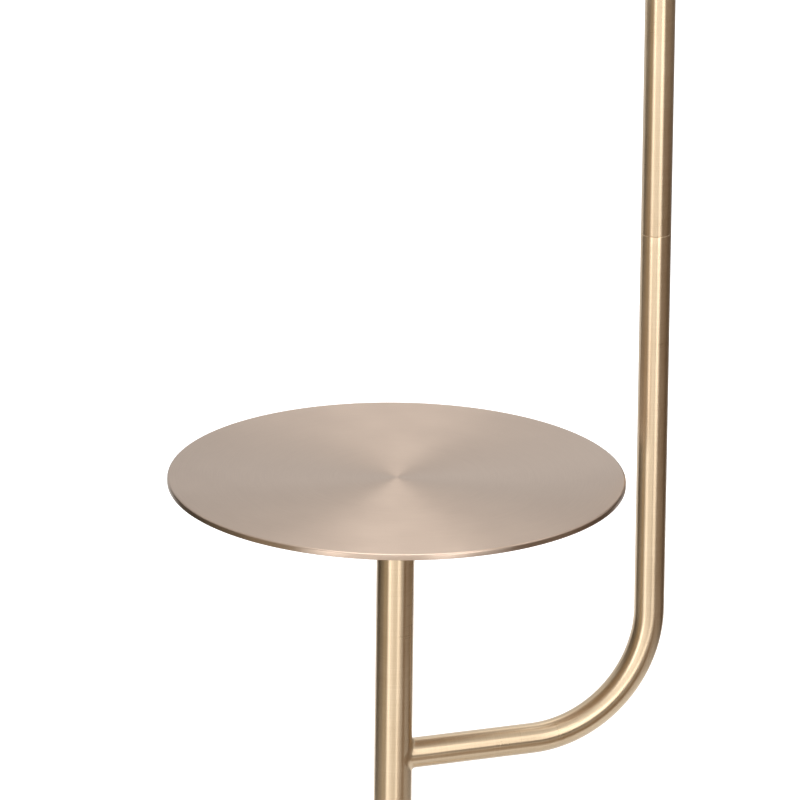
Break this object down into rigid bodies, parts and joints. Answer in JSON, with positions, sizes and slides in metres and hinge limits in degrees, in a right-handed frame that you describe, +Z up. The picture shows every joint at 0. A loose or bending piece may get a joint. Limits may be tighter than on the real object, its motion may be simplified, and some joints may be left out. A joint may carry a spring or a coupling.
{
  "type": "floor lamp with table",
  "caption": "Standing lamp with a small round table on its stem; a J-shaped arm brazed to the stem carries the pole, lampholder and linen drum shade beside the table.",
  "frame": {"origin": "middle of the base pad's underside, on the floor and on the stem's axis", "axes": "+Z up along the stem, +X along the arm from the stem to the pole, -Y to the front, where the switch's knob points"},
  "size_m": [0.52, 0.3798, 1.5112],
  "materials": {
    "brushed_brass": "satin, brushed",
    "table_brass": "satin, spun in circles",
    "cast_iron": "rough casting",
    "pad_rubber": "matte",
    "black_rubber": "matte",
    "zinc_steel": "zinc plated",
    "white_moulding": "moulded",
    "black_moulding": "moulded, slight gloss",
    "liner_paper": "plain",
    "contact_brass": "bright",
    "white_wire": "powder coated",
    "shade_backing": "smooth film",
    "shade_linen": "woven linen",
    "bulb_metal": "bright",
    "bulb_glass": "frosted",
    "light_source": "plain",
    "lead_sheath": "plain"
  },
  "bodies": {
    "lamp": {"base_pad": "pad_rubber", "base_weight": "cast_iron", "base_cover": "brushed_brass", "cord_grommet": "black_rubber", "base_nipple": "zinc_steel", "base_washer": "zinc_steel", "base_nut": "zinc_steel", "terminal_block": "white_moulding", "terminal_screws": "zinc_steel", "stem_collar": "brushed_brass", "stem_bottom_plug": "zinc_steel", "stem_tube": "brushed_brass", "table_flange": "brushed_brass", "flange_screw": "zinc_steel", "table_disc": "table_brass", "table_nuts": "zinc_steel", "arm_tube": "brushed_brass", "arm_top_plug": "zinc_steel", "pole_bottom_plug": "zinc_steel", "pole_nipple": "zinc_steel", "pole_tube": "brushed_brass", "pole_top_plug": "zinc_steel", "pole_neck": "brushed_brass", "socket_nipple": "zinc_steel", "socket_nut": "zinc_steel", "socket_cap": "brushed_brass", "socket_shell": "brushed_brass", "socket_liner": "liner_paper", "switch_body": "black_moulding", "screw_shell": "contact_brass", "centre_contact": "contact_brass", "harp_saddle": "brushed_brass", "harp": "brushed_brass", "bulb_cap": "bulb_metal", "bulb_glass": "bulb_glass", "bulb_filament": "light_source", "inner_lead": "lead_sheath"},
    "switch": {"switch_shaft": "contact_brass", "switch_knob": "black_moulding"},
    "sleeve_left": {"harp_sleeve_left": "brushed_brass"},
    "sleeve_right": {"harp_sleeve_right": "brushed_brass"},
    "shade": {"shade_spider": "brushed_brass", "shade_bottom_ring": "white_wire", "shade_backing": "shade_backing", "shade_linen": "shade_linen"},
    "finial": {"finial": "brushed_brass"}
  },
  "joints": [
    {"name": "switch_turn", "type": "hinge", "parent": "lamp", "child": "switch", "pos_m": [0.18, 0, 1.2681], "axis": [0, -1, 0], "continuous": true},
    {"name": "sleeve_left_lift", "type": "slide", "parent": "lamp", "child": "sleeve_left", "axis": [0, 0, 1], "range_m": [0, 0.012]},
    {"name": "sleeve_right_lift", "type": "slide", "parent": "lamp", "child": "sleeve_right", "axis": [0, 0, 1], "range_m": [0, 0.012]},
    {"name": "shade_turn", "type": "hinge", "parent": "lamp", "child": "shade", "pos_m": [0.18, 0, 1.477], "axis": [0, 0, 1], "continuous": true},
    {"name": "finial_turn", "type": "hinge", "parent": "lamp", "child": "finial", "pos_m": [0.18, 0, 1.487], "axis": [0, 0, 1], "continuous": true}
  ]
}
